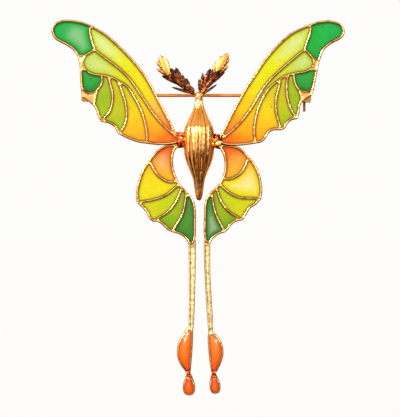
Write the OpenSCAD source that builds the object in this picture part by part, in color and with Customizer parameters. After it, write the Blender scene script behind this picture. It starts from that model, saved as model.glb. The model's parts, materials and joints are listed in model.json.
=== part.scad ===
// Moth brooch: cast metal wing frames filled with translucent enamel, a fluted body,
// feather antennae, and a hinged pin stem with a turning safety catch on the back.
//
// +Z runs from the tails to the head, -Y is the side that shows when the brooch is worn.
// The origin is the middle of the pin stem's axis.

/* [Wings] */
// Wingspan, from tip to tip
span = 60; // [54:1:66]
// Thickness of the cast wing frames
frame_t = 1.5; // [1.3:0.1:1.8]
// Thickness of the enamel panes
enamel_t = 1.1; // [0.8:0.1:1.2]
// Width of the veins between two panes
vein_w = 0.5; // [0.44:0.02:0.54]
// Width of the rim round each wing
rim_w = 0.55; // [0.5:0.05:0.7]
// Radius of the enamel's corners
corner_r = 0.22; // [0.16:0.02:0.24]

/* [Body and antennae] */
// Width of the body at its widest
body_w = 6.4; // [5.6:0.1:6.6]
// Thickness of the antennae
antenna_t = 1; // [0.8:0.1:1.2]
// How far the soldered wing roots stand proud of the frames, at the front
lug_proud = 0.3; // [0.2:0.05:0.4]

/* [Pin and catch] */
// Diameter of the pin stem's even middle stretch
pin_d = 0.7; // [0.6:0.05:0.8]
// Length of the pin stem's even middle stretch
pin_free = 34; // [30:1:36]
// Room for cloth, from the pin's axis to the back of the wings
pin_gap = 2.6; // [2.4:0.1:3]
// Diameter of the hinge rivet
rivet_d = 0.8; // [0.7:0.05:0.9]
// Running clearance round the rivet and round the catch's sleeve
run_clear = 0.05; // [0.03:0.01:0.08]
// Length of the catch's finger tab, from the pin's axis
tab_len = 3.4; // [3:0.1:4]

/* [Hidden] */

GOLD = "#e0a24c";
PIN_GOLD = "#c98a3c";
BROWN = "#5a2c1c";
GREEN = "#2fb45a";
LIME = "#a8cf2a";
PALE_LIME = "#d3ea5a";
YELLOW = "#f2dc20";
ORANGE = "#f9a028";
DEEP_GREEN = "#3f8f3a";
FLAME = "#ff6a14";

curve_steps = 4;
drawn_span = 60;
k = span / drawn_span;
mid_y = pin_gap + frame_t / 2;

// Forewing curves. Each list holds the points that one stretch of rim or vein runs through.
LEAD = 1;
CROWN = 2;
WEB = 3;
SIDE = 4;
HEM = 5;
NOTCH = 6;
LOBE_A = 7;
LOBE_B = 8;
LOBE_C = 9;
HEEL = 10;
TIP_VEIN = 11;
CAP = 12;
WEB_TOP = 13;
BOW = 14;
EYE_TOP = 15;
BROW = 16;
RIB_A = 17;
RIB_B = 18;
VEIN_C = 19;
VEIN_B = 20;
VEIN_A = 21;
EYE_VEIN = 22;
EYE_LOW = 23;
SIDE_A = 24;
COSTAL = 25;

FORE_RIM = [LEAD, CROWN, WEB, SIDE, HEM, NOTCH, LOBE_A, LOBE_B, LOBE_C, HEEL];
FORE_TIP = [TIP_VEIN, CAP, WEB_TOP, -CROWN];
FORE_COSTAL = [LEAD, TIP_VEIN, COSTAL];
FORE_MIDDLE = [CAP, BOW, BROW, RIB_A, RIB_B, VEIN_C, HEEL, -COSTAL];
FORE_EYE = [EYE_VEIN, EYE_LOW, -SIDE, EYE_TOP, BROW];
FORE_A = [RIB_A, VEIN_A, -LOBE_A, -SIDE_A, -EYE_VEIN];
FORE_B = [RIB_B, VEIN_B, -LOBE_B, -VEIN_A];
FORE_C = [VEIN_C, -LOBE_C, -VEIN_B];

LEFT_FORE = [
    [[-3.9, -9.3], [-5.1, -7.7], [-7.05, -3.95], [-9.05, -0.15], [-11.3, 3.85], [-14.7, 7.95],
     [-19, 11.95], [-22.2, 13.85]],
    [[-22.2, 13.85], [-24.4, 14.65], [-27.2, 15], [-29.3, 14.4], [-30.05, 13], [-29.3, 11.4],
     [-27.2, 10.25], [-25.6, 9.1], [-24.7, 7.8]],
    [[-24.7, 7.8], [-24.35, 6.4], [-24.2, 5]],
    [[-24.2, 5], [-24.15, 2.9], [-24, 1.1]],
    [[-24, 1.1], [-23.85, -0.45]],
    [[-23.85, -0.45], [-22.9, -1.05], [-21.6, -2.1]],
    [[-21.6, -2.1], [-20.95, -3.2], [-20.55, -4.5], [-20, -5.4]],
    [[-20, -5.4], [-18.7, -5.7], [-17.5, -6.3], [-16.9, -7.1], [-16.5, -7.9]],
    [[-16.5, -7.9], [-14.8, -8.8], [-12.6, -9.6], [-10.8, -9.9]],
    [[-10.8, -9.9], [-8.4, -10.15], [-6.3, -10.1], [-4.9, -9.85], [-3.9, -9.3]],
    [[-22.2, 13.85], [-22.45, 12.75], [-22.15, 11.3], [-21.8, 10.1], [-21.4, 9]],
    [[-21.4, 9], [-22.3, 8.55], [-23.3, 7.9]],
    [[-23.3, 7.9], [-24.7, 7.8]],
    [[-23.3, 7.9], [-23.85, 6.9], [-23.8, 5.7], [-23.2, 4.9]],
    [[-24.2, 5], [-23.2, 4.9]],
    [[-23.2, 4.9], [-22.4, 4.3], [-21.2, 3.95], [-20, 3.85]],
    [[-20, 3.85], [-18.6, 3.55]],
    [[-18.6, 3.55], [-17.6, 3.2], [-16.7, 2.7]],
    [[-16.7, 2.7], [-14.8, 1.5], [-13.2, -0.9], [-11.9, -3.5], [-11.1, -6.2], [-10.75, -8.5],
     [-10.8, -9.9]],
    [[-16.7, 2.7], [-16.2, 1.4], [-15.6, -0.3], [-15.1, -2.1], [-14.9, -4.2], [-15.2, -6.1],
     [-15.8, -7.2], [-16.5, -7.9]],
    [[-18.6, 3.55], [-18.2, 1.8], [-17.8, 0], [-17.85, -1.9], [-18.4, -3.6], [-19.2, -4.6],
     [-20, -5.4]],
    [[-20, 3.85], [-19.9, 2.6], [-20.2, 1.7], [-20.8, 0.9]],
    [[-20.8, 0.9], [-21.6, 0.3], [-22.7, 0.2], [-24, 1.1]],
    [[-20.8, 0.9], [-21.15, 0], [-21.3, -1.1], [-21.6, -2.1]],
    [[-21.4, 9], [-19.7, 7.65], [-16.8, 5.5], [-14.3, 3.1], [-11.8, -0.5], [-9.3, -4.2],
     [-6.6, -7.2], [-3.9, -9.3]]
];

RIGHT_FORE = [
    [[3.9, -9.4], [5, -7.5], [6.7, -4.1], [9.05, 0.2], [11.3, 3.75], [14.35, 8.05],
     [18.45, 12.05], [22.5, 14.05]],
    [[22.5, 14.05], [24.5, 14.65], [26.6, 14.85], [28.6, 14.3], [29.45, 13], [28.9, 11.65],
     [26.9, 10.55], [25.3, 9.2], [24.7, 7.9], [24.3, 6.7]],
    [[24.3, 6.7], [24.1, 5.9], [23.95, 5.1]],
    [[23.95, 5.1], [23.6, 3.2], [23.15, 1]],
    [[23.15, 1], [22.75, -0.1]],
    [[22.75, -0.1], [21.8, -0.65], [20.85, -1.4]],
    [[20.85, -1.4], [20.3, -2.5], [20.2, -3.8], [19.95, -4.8]],
    [[19.95, -4.8], [18.6, -5.2], [17.8, -6], [17.3, -6.8], [16.7, -7.15]],
    [[16.7, -7.15], [15.2, -7.15], [14.1, -7.7], [13.4, -8.8], [12.6, -9.6], [11.4, -9.85]],
    [[11.4, -9.85], [9, -10.2], [6.5, -10.3], [4.9, -10.05], [3.9, -9.4]],
    [[22.5, 14.05], [22.7, 13.1], [22.45, 11.9], [21.9, 10.4], [21.45, 9]],
    [[21.45, 9], [22.2, 8.4], [23.1, 7.4]],
    [[23.1, 7.4], [24.3, 6.7]],
    [[23.1, 7.4], [23.4, 6.4], [23.2, 5.6], [22.5, 4.95]],
    [[23.95, 5.1], [22.5, 4.95]],
    [[22.5, 4.95], [21.5, 4.55], [20.3, 4.35], [19.3, 4.15]],
    [[19.3, 4.15], [18.1, 3.85]],
    [[18.1, 3.85], [17.2, 3.5], [16.5, 3.05]],
    [[16.5, 3.05], [15.3, 2.15], [13.9, 0.7], [12.8, -1.1], [11.9, -3.4], [11.4, -5.6],
     [11.2, -7.8], [11.4, -9.85]],
    [[16.5, 3.05], [16.3, 1.6], [15.7, -0.8], [15.65, -3.3], [16.1, -5.5], [16.7, -7.15]],
    [[18.1, 3.85], [17.85, 2.1], [17.9, -0.2], [18.45, -2.6], [19.2, -4], [19.95, -4.8]],
    [[19.3, 4.15], [19.4, 2.75], [19.7, 1.75], [20.25, 0.9]],
    [[20.25, 0.9], [21.1, 0.55], [22.1, 0.5], [23.15, 1]],
    [[20.25, 0.9], [20.7, -0.2], [20.85, -1.4]],
    [[21.45, 9], [20.3, 8.15], [17.2, 5.5], [15.2, 3.65], [13.5, 1.8], [12, -0.5],
     [10.4, -3.2], [8.1, -6.1], [5.6, -8.4], [3.9, -9.4]]
];

// Hindwing curves, as for the forewings. The shore is the rim beside the body.
SHOULDER = 1;
FLANK = 2;
SCALLOP_1 = 3;
SCALLOP_2 = 4;
SCALLOP_3 = 5;
SHORE_1 = 6;
SHORE_2 = 7;
SHORE_3 = 8;
SHORE_4 = 9;
SHORE_5 = 10;
VEIN_12 = 11;
VEIN_23 = 12;
VEIN_34 = 13;
VEIN_45 = 14;

HIND_RIM = [
    SHOULDER, FLANK, SCALLOP_1, SCALLOP_2, SCALLOP_3, -SHORE_5, -SHORE_4, -SHORE_3, -SHORE_2,
    -SHORE_1
];
HIND_1 = [SHOULDER, VEIN_12, -SHORE_1];
HIND_2 = [FLANK, VEIN_23, -SHORE_2, -VEIN_12];
HIND_3 = [SCALLOP_1, VEIN_34, -SHORE_3, -VEIN_23];
HIND_4 = [SCALLOP_2, VEIN_45, -SHORE_4, -VEIN_34];
HIND_5 = [SCALLOP_3, -SHORE_5, -VEIN_45];

LEFT_HIND = [
    [[-4.3, -10.5], [-6.3, -10.5], [-8, -11.3], [-9.3, -12.5], [-10.2, -13.7]],
    [[-10.2, -13.7], [-11.5, -15.7], [-12.4, -18.3], [-12.75, -20.4], [-12.6, -22.1]],
    [[-12.6, -22.1], [-11.6, -23], [-10.6, -24.2], [-10.1, -25.3], [-9.4, -25.9]],
    [[-9.4, -25.9], [-8.4, -25.95], [-7.2, -26.8], [-6.4, -27.6], [-5.5, -28]],
    [[-5.5, -28], [-4.2, -28.4], [-3.1, -29], [-2.3, -30], [-1.75, -31.3]],
    [[-4.3, -10.5], [-5.25, -11.4], [-5.7, -13.4], [-5.45, -15.6], [-4.6, -17.9]],
    [[-4.6, -17.9], [-4.2, -18.6]],
    [[-4.2, -18.6], [-3.6, -19.2]],
    [[-3.6, -19.2], [-2.7, -20.2]],
    [[-2.7, -20.2], [-1.6, -21.5], [-1.05, -23.4], [-1, -26.5], [-1.1, -29.5], [-1.75, -31.3]],
    [[-10.2, -13.7], [-9.6, -15], [-8.6, -16.5], [-7.2, -17.6], [-5.9, -18], [-4.6, -17.9]],
    [[-12.6, -22.1], [-10.5, -21.8], [-8.3, -21.3], [-6.6, -20.5], [-5.3, -19.4],
     [-4.2, -18.6]],
    [[-9.4, -25.9], [-8, -25.1], [-6.5, -24.1], [-5.1, -22.5], [-4.3, -20.9], [-3.6, -19.2]],
    [[-5.5, -28], [-4.2, -25.9], [-3.35, -24.2], [-2.95, -22.3], [-2.7, -20.2]]
];

RIGHT_HIND = [
    [[4.1, -10.6], [6.3, -10.6], [8.2, -11.2], [9.3, -12.2], [9.95, -13.1]],
    [[9.95, -13.1], [11.2, -14.5], [12.2, -16.9], [12.6, -19.4], [12.35, -21.4]],
    [[12.35, -21.4], [11.3, -22.5], [10.2, -23.2], [9.4, -24.5], [8.7, -25.6]],
    [[8.7, -25.6], [7.3, -25.9], [6.3, -26.7], [5.7, -27.5], [5.1, -28.05]],
    [[5.1, -28.05], [3.8, -28.5], [2.7, -29.3], [2.1, -30.2], [1.7, -31.3]],
    [[4.1, -10.6], [5, -12.1], [5.4, -14], [5.3, -15.8], [4.8, -17.3]],
    [[4.8, -17.3], [4.2, -18.5]],
    [[4.2, -18.5], [3.5, -19.2]],
    [[3.5, -19.2], [2.55, -20.1]],
    [[2.55, -20.1], [1.6, -21.4], [1.25, -23], [1.15, -26], [1.15, -29], [1.7, -31.3]],
    [[9.95, -13.1], [9.5, -14.4], [8.8, -15.7], [7.6, -16.8], [6.2, -17.35], [4.8, -17.3]],
    [[12.35, -21.4], [10.5, -21.3], [8.4, -21.2], [6.6, -20.5], [5.3, -19.55], [4.2, -18.5]],
    [[8.7, -25.6], [7.6, -25.05], [6.1, -24.1], [5, -22.9], [4.2, -21.5], [3.5, -19.2]],
    [[5.1, -28.05], [3.95, -25.9], [3.2, -24.1], [2.8, -22.3], [2.55, -20.1]]
];

// Tails: the stem's two edges, then the closed rim lines of the leaf and of the drop.
LEFT_STEM = [
    [[-2.25, -29.9], [-2.2, -36], [-2.15, -42], [-2.2, -47.6], [-1.75, -49.2]],
    [[-1.35, -49.2], [-1.1, -46], [-0.95, -42], [-0.8, -36], [-0.75, -31], [-0.75, -29.7]],
    [[-0.75, -29.7], [-2.25, -29.9]]
];
LEFT_LEAF = [
    [[-1.95, -47.7], [-2.8, -48.7], [-3.75, -50.1], [-4.3, -51.8], [-4.35, -53.6], [-3.75, -55.1],
     [-2.95, -56.2], [-2.2, -57.3]],
    [[-2.2, -57.3], [-1.95, -55.5], [-1.75, -53], [-1.6, -50.5], [-1.6, -48.6], [-1.95, -47.7]]
];
LEFT_DROP = [
    [[-2.2, -57], [-2.7, -58.1], [-3.1, -59.4], [-3.15, -60.4], [-2.8, -61.15], [-2.15, -61.4],
     [-1.5, -61.2], [-1.15, -60.5], [-1.2, -59.5], [-1.65, -58.1], [-2.2, -57]]
];
RIGHT_STEM = [
    [[2.2, -29.9], [2.2, -36], [2.5, -42], [2.75, -46.5], [2.75, -48.5], [2.3, -49.8]],
    [[1.9, -49.8], [1.6, -46], [1.3, -42], [1, -36], [0.87, -31], [0.87, -29.7]],
    [[0.87, -29.7], [2.2, -29.9]]
];
RIGHT_LEAF = [
    [[2.2, -48.7], [1.95, -49.6], [2, -51.5], [2.2, -53.5], [2.4, -55.5], [2.85, -57.3]],
    [[2.85, -57.3], [3.5, -56.3], [4.15, -55], [4.6, -53.5], [4.6, -52], [4.2, -50.7],
     [3.4, -49.6], [2.2, -48.7]]
];
RIGHT_DROP = [
    [[2.9, -57], [2.5, -58.2], [2.3, -59.4], [2.4, -60.4], [2.8, -60.95], [3.3, -61.05],
     [3.85, -60.8], [4.05, -60.1], [3.95, -59.2], [3.5, -58.1], [2.9, -57]]
];

// Half the body's outline: [height, radius as a share of the widest].
BODY_PROFILE = [
    [0.55, 0.1], [0.2, 0.25], [-0.7, 0.26], [-1.6, 0.265], [-3, 0.37], [-4.5, 0.57], [-6, 0.8],
    [-7.2, 0.94], [-9.4, 1], [-11.2, 0.99], [-12.8, 0.92], [-14.4, 0.77], [-16, 0.55],
    [-17.5, 0.38], [-19.3, 0.29], [-21, 0.21], [-21.8, 0.1]
];
body_lean = -0.1;

// Feather outlines of the antennae, from the root up one side and down the other.
LEFT_FEATHER = [
    [-0.3, -0.4], [-1, -0.5], [-2, 0], [-3, 0.5], [-4.3, 0.9], [-5.6, 1.5], [-4.8, 1.8],
    [-5.6, 2.3], [-7.5, 3.2], [-7.8, 3.8], [-8.1, 4.4], [-8.8, 5], [-8.6, 5.4], [-7.9, 5.3],
    [-8.9, 6.3], [-8.6, 7.2], [-8.4, 7.9], [-7.9, 8.1], [-7.5, 7.6], [-6.7, 7.2], [-6.7, 6.3],
    [-6.3, 5.2], [-5.7, 5.4], [-5.3, 4.4], [-4.85, 5.3], [-4.2, 4.7], [-4, 3.2], [-3.4, 3.9],
    [-3.2, 3.2], [-2.7, 3.3], [-2.1, 1.8], [-1.6, 1.6], [-1, 0.7], [-0.2, 0.4]
];
RIGHT_FEATHER = [
    [-0.2, 0.2], [-0.35, 1.2], [-0.3, 2.6], [0.1, 3.1], [0.35, 3.9], [0.7, 4.3], [1.1, 3.9],
    [1.5, 4.6], [2, 5.2], [2.5, 5.2], [2.8, 6.2], [3.3, 6.7], [3.8, 6.6], [4.1, 7.8], [4.8, 7.9],
    [5.6, 8.5], [6, 8.3], [6.2, 7.6], [6.1, 6.6], [5.8, 5.6], [5.2, 4.9], [5.1, 4.3], [4.2, 3.5],
    [2.9, 2.5], [2.4, 1.8], [3.4, 2.2], [3.45, 1.8], [2.5, 1], [1.5, 0.4], [0.7, -0.5], [0.3, -0.4]
];

// Soldered roots that join the wings to the body.
LEFT_ROOT = [
    [-2.4, -7.9], [-3.7, -7.7], [-4.9, -7.7], [-5.2, -8.4], [-4.8, -9.2], [-4.9, -10],
    [-4.9, -10.8], [-4.1, -11.1], [-3.3, -10.9], [-2.4, -10.9]
];
RIGHT_ROOT = [
    [2.4, -7.9], [3.6, -8.1], [4.4, -8.3], [5, -8.8], [4.7, -9.5], [4.8, -10.2], [4.7, -11],
    [4, -11.3], [3.2, -11], [2.4, -10.9]
];

hinge_x = -23 * k;
catch_x = 21.65 * k;
foot_t = 0.5;
foot_z = 1.5;
foot_r = 0.4;
ear_gap = 1;
ear_t = 0.5;
ear_r = 1;
eye_r = 0.95;
eye_clear = 0.08;
rivet_head_r = 0.65;
rivet_head_t = 0.25;
pin_root_d = 0.76;
pin_end_d = 0.62;
pin_point_d = 0.16;
pin_point = 2.2;
pin_past_catch = 0.3;
band_len = 0.9;
band_clear = 0.08;
ring_len = 0.75;
ring_in_r = 1.05;
ring_wall = 0.45;
slot_w = 1.04;
sleeve_in_r = 0.52;
catch_len = band_len + 2 * (band_clear + ring_len);
tab_w = 0.55;
tab_t = 0.5;
round_fn = 48;
soft_fn = 16;

// Catmull-Rom point between b and c at t, with neighbours a and d.
function spline_point(a, b, c, d, t) =
    0.5 * (2 * b + (c - a) * t + (2 * a - 5 * b + 4 * c - d) * t * t
    + (3 * b - a - 3 * c + d) * t * t * t);

function reversed(p) = [for (i = [len(p) - 1:-1:0]) p[i]];

// Smooth run through the points of p, without its last point. Two points give a straight run.
function smooth(p) =
    let (n = len(p) - 1, q = concat([2 * p[0] - p[1]], p, [2 * p[n] - p[n - 1]]))
    n == 1 ? [p[0]] : [
        for (i = [0:n - 1]) for (j = [0:curve_steps - 1])
            spline_point(q[i], q[i + 1], q[i + 2], q[i + 3], j / curve_steps)
    ];

// Closed loop along numbered curves of a wing. A negative number runs its curve backwards.
function loop(wing, numbers) = [
    for (c = numbers) each smooth(c > 0 ? wing[c - 1] : reversed(wing[-c - 1]))
];

function loop_of(curves) = [for (c = curves) each smooth(c)];

// Upright plate: its back face is pin_gap in front of the pin, and it grows towards -Y.
module plate(thick, inset = 0) {
    translate([0, -pin_gap - inset, 0])
        rotate([90, 0, 0])
            linear_extrude(thick) children();
}

module area(points) {
    scale([k, k]) polygon(points);
}

// A cell's opening: half a vein inside the vein lines, with rounded corners.
module opening(points) {
    offset(r = corner_r, $fn = soft_fn)
        offset(delta = -vein_w / 2 - corner_r)
            area(points);
}

// The rim's outer edge, half a rim outside the rim lines given as children.
module outline() {
    offset(r = rim_w / 2, $fn = soft_fn) children();
}

module fore_outline(wing) {
    outline() area(loop(wing, FORE_RIM));
}

module fore_frame(wing) {
    color(GOLD) plate(frame_t) difference() {
        fore_outline(wing);
        for (cell = [FORE_TIP, FORE_COSTAL, FORE_MIDDLE, FORE_EYE, FORE_A, FORE_B, FORE_C])
            opening(loop(wing, cell));
    }
}

module hind_frame(wing, fore, stem, leaf, drop) {
    color(GOLD) plate(frame_t) difference() {
        outline() {
            area(loop(wing, HIND_RIM));
            offset(delta = -rim_w / 2) area(loop_of(stem));
            area(loop_of(leaf));
            area(loop_of(drop));
        }
        fore_outline(fore);
        for (cell = [HIND_1, HIND_2, HIND_3, HIND_4, HIND_5])
            opening(loop(wing, cell));
        opening(loop_of(leaf));
        opening(loop_of(drop));
    }
}

module enamel(points, tint) {
    color(tint) plate(enamel_t, (frame_t - enamel_t) / 2) opening(points);
}

module hind_enamel(points, fore, tint) {
    color(tint) plate(enamel_t, (frame_t - enamel_t) / 2) difference() {
        opening(points);
        fore_outline(fore);
    }
}

module body_form() {
    top = BODY_PROFILE[0][0];
    tail = BODY_PROFILE[len(BODY_PROFILE) - 1][0];
    side = smooth([for (p = BODY_PROFILE) [p[1] * body_w / 2, p[0] * k]]);
    translate([body_lean, -mid_y, 0]) intersection() {
        rotate_extrude($fn = round_fn)
            polygon(concat([[0, top * k]], side, [[0, tail * k]]));
        translate([-body_w, -body_w, tail * k])
            cube([2 * body_w, body_w + frame_t / 2, (top - tail) * k]);
    }
}

module body() {
    color(GOLD) body_form();
}

module antenna(points) {
    color(BROWN) difference() {
        plate(antenna_t, (frame_t - antenna_t) / 2) area(points);
        body_form();
    }
}

module root_lug(points, fore, hind) {
    color(GOLD) difference() {
        plate(frame_t + lug_proud)
            offset(r = foot_r, $fn = soft_fn)
                offset(delta = -foot_r)
                    area(points);
        body_form();
        plate(frame_t) {
            fore_outline(fore);
            outline() area(loop(hind, HIND_RIM));
        }
    }
}

// Soldered foot of the hinge or of the catch, on the back of a wing.
module foot(length) {
    translate([0, foot_t - pin_gap, 0])
        rotate([90, 0, 0])
            linear_extrude(foot_t)
                offset(r = foot_r, $fn = soft_fn)
                    square([length - 2 * foot_r, 2 * (foot_z - foot_r)], center = true);
}

module hinge_ear(z) {
    translate([0, 0, z]) difference() {
        union() {
            cylinder(r = ear_r, h = ear_t, $fn = round_fn);
            translate([-ear_r, foot_t - pin_gap, 0])
                cube([2 * ear_r, pin_gap - foot_t, ear_t]);
        }
        translate([0, 0, -ear_t])
            cylinder(d = rivet_d, h = 3 * ear_t, $fn = round_fn);
    }
}

module hinge_bracket() {
    color(GOLD) translate([hinge_x, 0, 0]) union() {
        foot(2 * ear_r + foot_t);
        hinge_ear(ear_gap / 2);
        hinge_ear(-ear_gap / 2 - ear_t);
    }
}

module hinge_rivet() {
    reach = ear_gap / 2 + ear_t;
    color(GOLD) translate([hinge_x, 0, 0]) union() {
        translate([0, 0, -reach])
            cylinder(d = rivet_d, h = 2 * reach, $fn = round_fn);
        translate([0, 0, reach])
            cylinder(r = rivet_head_r, h = rivet_head_t, $fn = round_fn);
        translate([0, 0, -reach - rivet_head_t])
            cylinder(r = rivet_head_r, h = rivet_head_t, $fn = round_fn);
    }
}

// Round bar along the pin's axis, from one x to another, with a diameter at each end.
module bar(from_x, to_x, from_d, to_d) {
    translate([from_x, 0, 0])
        rotate([0, 90, 0])
            cylinder(d1 = from_d, d2 = to_d, h = to_x - from_x, $fn = round_fn);
}

module pin_stem() {
    eye_t = ear_gap - 2 * eye_clear;
    tip_x = catch_x + catch_len / 2 + pin_past_catch;
    color(PIN_GOLD) difference() {
        union() {
            translate([hinge_x, 0, -eye_t / 2])
                cylinder(r = eye_r, h = eye_t, $fn = round_fn);
            bar(hinge_x + rivet_d, -pin_free / 2, pin_root_d, pin_d);
            bar(-pin_free / 2, pin_free / 2, pin_d, pin_d);
            bar(pin_free / 2, tip_x - pin_point, pin_d, pin_end_d);
            bar(tip_x - pin_point, tip_x, pin_end_d, pin_point_d);
        }
        translate([hinge_x, 0, -eye_t])
            cylinder(r = rivet_d / 2 + run_clear, h = 2 * eye_t, $fn = round_fn);
    }
}

// Pin-wise tube with a slot towards the back, for the pin to pass through.
module slotted_tube(outer, inner, length) {
    rotate([0, 90, 0]) difference() {
        cylinder(r = outer, h = length, center = true, $fn = round_fn);
        cylinder(r = inner, h = 2 * length, center = true, $fn = round_fn);
        translate([-slot_w / 2, 0, -length])
            cube([slot_w, 2 * outer, 2 * length]);
    }
}

module catch_ring(x) {
    translate([x, 0, 0]) union() {
        slotted_tube(ring_in_r + ring_wall, ring_in_r, ring_len);
        difference() {
            translate([-ring_len / 2, foot_t - pin_gap, -ring_in_r])
                cube([ring_len, pin_gap - foot_t, 2 * ring_in_r]);
            rotate([0, 90, 0])
                cylinder(r = ring_in_r + ring_wall / 2, h = 2 * ring_len, center = true, $fn = round_fn);
        }
    }
}

module catch_base() {
    step = band_len / 2 + band_clear + ring_len / 2;
    color(GOLD) translate([catch_x, 0, 0]) union() {
        foot(catch_len);
        catch_ring(-step);
        catch_ring(step);
    }
}

module catch_collar() {
    band_r = ring_in_r + ring_wall;
    color(GOLD) translate([catch_x, 0, 0]) union() {
        slotted_tube(ring_in_r - run_clear, sleeve_in_r, catch_len);
        slotted_tube(band_r, sleeve_in_r, band_len);
        translate([-tab_w / 2, -tab_t / 2, -tab_len + tab_w / 2])
            cube([tab_w, tab_t, tab_len - tab_w / 2 - ring_in_r]);
        translate([0, 0, -tab_len + tab_w / 2])
            rotate([90, 0, 0])
                cylinder(d = tab_w, h = tab_t, center = true, $fn = round_fn);
    }
}

fore_frame(LEFT_FORE);  // left_forewing_frame
fore_frame(RIGHT_FORE);  // right_forewing_frame
hind_frame(LEFT_HIND, LEFT_FORE, LEFT_STEM, LEFT_LEAF, LEFT_DROP);  // left_hindwing_frame
hind_frame(RIGHT_HIND, RIGHT_FORE, RIGHT_STEM, RIGHT_LEAF, RIGHT_DROP);  // right_hindwing_frame

enamel(loop(LEFT_FORE, FORE_TIP), GREEN);  // left_fore_enamel_tip
enamel(loop(LEFT_FORE, FORE_COSTAL), YELLOW);  // left_fore_enamel_costal
enamel(loop(LEFT_FORE, FORE_MIDDLE), PALE_LIME);  // left_fore_enamel_middle
enamel(loop(LEFT_FORE, FORE_EYE), GREEN);  // left_fore_enamel_eye
enamel(loop(LEFT_FORE, FORE_A), LIME);  // left_fore_enamel_a
enamel(loop(LEFT_FORE, FORE_B), LIME);  // left_fore_enamel_b
enamel(loop(LEFT_FORE, FORE_C), ORANGE);  // left_fore_enamel_c

enamel(loop(RIGHT_FORE, FORE_TIP), GREEN);  // right_fore_enamel_tip
enamel(loop(RIGHT_FORE, FORE_COSTAL), YELLOW);  // right_fore_enamel_costal
enamel(loop(RIGHT_FORE, FORE_MIDDLE), PALE_LIME);  // right_fore_enamel_middle
enamel(loop(RIGHT_FORE, FORE_EYE), GREEN);  // right_fore_enamel_eye
enamel(loop(RIGHT_FORE, FORE_A), LIME);  // right_fore_enamel_a
enamel(loop(RIGHT_FORE, FORE_B), LIME);  // right_fore_enamel_b
enamel(loop(RIGHT_FORE, FORE_C), ORANGE);  // right_fore_enamel_c

hind_enamel(loop(LEFT_HIND, HIND_1), LEFT_FORE, ORANGE);  // left_hind_enamel_1
enamel(loop(LEFT_HIND, HIND_2), YELLOW);  // left_hind_enamel_2
enamel(loop(LEFT_HIND, HIND_3), PALE_LIME);  // left_hind_enamel_3
enamel(loop(LEFT_HIND, HIND_4), LIME);  // left_hind_enamel_4
enamel(loop(LEFT_HIND, HIND_5), DEEP_GREEN);  // left_hind_enamel_5
enamel(loop_of(LEFT_LEAF), FLAME);  // left_tail_enamel_leaf
enamel(loop_of(LEFT_DROP), FLAME);  // left_tail_enamel_drop

hind_enamel(loop(RIGHT_HIND, HIND_1), RIGHT_FORE, ORANGE);  // right_hind_enamel_1
enamel(loop(RIGHT_HIND, HIND_2), YELLOW);  // right_hind_enamel_2
enamel(loop(RIGHT_HIND, HIND_3), PALE_LIME);  // right_hind_enamel_3
enamel(loop(RIGHT_HIND, HIND_4), LIME);  // right_hind_enamel_4
enamel(loop(RIGHT_HIND, HIND_5), DEEP_GREEN);  // right_hind_enamel_5
enamel(loop_of(RIGHT_LEAF), FLAME);  // right_tail_enamel_leaf
enamel(loop_of(RIGHT_DROP), FLAME);  // right_tail_enamel_drop

body();
antenna(LEFT_FEATHER);  // left_antenna
antenna(RIGHT_FEATHER);  // right_antenna
root_lug(LEFT_ROOT, LEFT_FORE, LEFT_HIND);  // left_root_lug
root_lug(RIGHT_ROOT, RIGHT_FORE, RIGHT_HIND);  // right_root_lug
hinge_bracket();
hinge_rivet();
pin_stem();
catch_base();
catch_collar();
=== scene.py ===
"""Looks of the moth brooch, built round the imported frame.

Everything is in metres, in the frame's own axes: -Y is the enamelled side, +Z is up, and left and
right are the viewer's. Sizes below are given in millimetres times MM.
"""

import json
import math

import bpy
import numpy as np
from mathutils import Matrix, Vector, kdtree, noise
from mathutils.geometry import delaunay_2d_cdt


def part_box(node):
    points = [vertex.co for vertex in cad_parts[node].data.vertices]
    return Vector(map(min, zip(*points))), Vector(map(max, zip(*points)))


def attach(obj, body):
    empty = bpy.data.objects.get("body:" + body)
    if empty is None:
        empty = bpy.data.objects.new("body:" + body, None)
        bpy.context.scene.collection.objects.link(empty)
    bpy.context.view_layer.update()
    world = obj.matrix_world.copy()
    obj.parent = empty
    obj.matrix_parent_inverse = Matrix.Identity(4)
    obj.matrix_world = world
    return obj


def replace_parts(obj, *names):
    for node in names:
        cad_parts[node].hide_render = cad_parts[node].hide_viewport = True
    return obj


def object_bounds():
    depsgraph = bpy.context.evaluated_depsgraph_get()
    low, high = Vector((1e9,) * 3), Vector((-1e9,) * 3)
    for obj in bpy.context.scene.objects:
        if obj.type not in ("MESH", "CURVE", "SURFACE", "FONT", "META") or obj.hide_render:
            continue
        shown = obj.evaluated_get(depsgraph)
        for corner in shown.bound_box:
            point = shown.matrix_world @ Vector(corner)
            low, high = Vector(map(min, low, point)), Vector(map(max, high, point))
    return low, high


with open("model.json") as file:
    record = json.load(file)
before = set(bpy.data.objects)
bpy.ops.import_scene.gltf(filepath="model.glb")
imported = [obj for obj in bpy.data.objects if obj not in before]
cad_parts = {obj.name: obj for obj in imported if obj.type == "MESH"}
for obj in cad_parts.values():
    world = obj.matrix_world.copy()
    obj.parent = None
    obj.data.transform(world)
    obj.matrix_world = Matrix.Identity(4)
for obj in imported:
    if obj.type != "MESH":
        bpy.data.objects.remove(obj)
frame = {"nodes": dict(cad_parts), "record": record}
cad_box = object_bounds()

MM = 0.001
SIDES = {"left": -1, "right": 1}
BODY = "brooch"

# Cast metal, in millimetres
OUTLINE_STEP = 0.14
BEAD_WIDTH = 0.25
BEAD_RISE = 0.42
BACK_ROUNDING = 0.3
METAL_RINGS = (0.03, 0.08, 0.15, 0.24, 0.34, 0.46, 0.62, 0.8)
PLATE_SINK = 0.17
STEM_SINK = 0.24
HAMMERING = 0.03
CAST_LUMPS = 0.03

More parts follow.
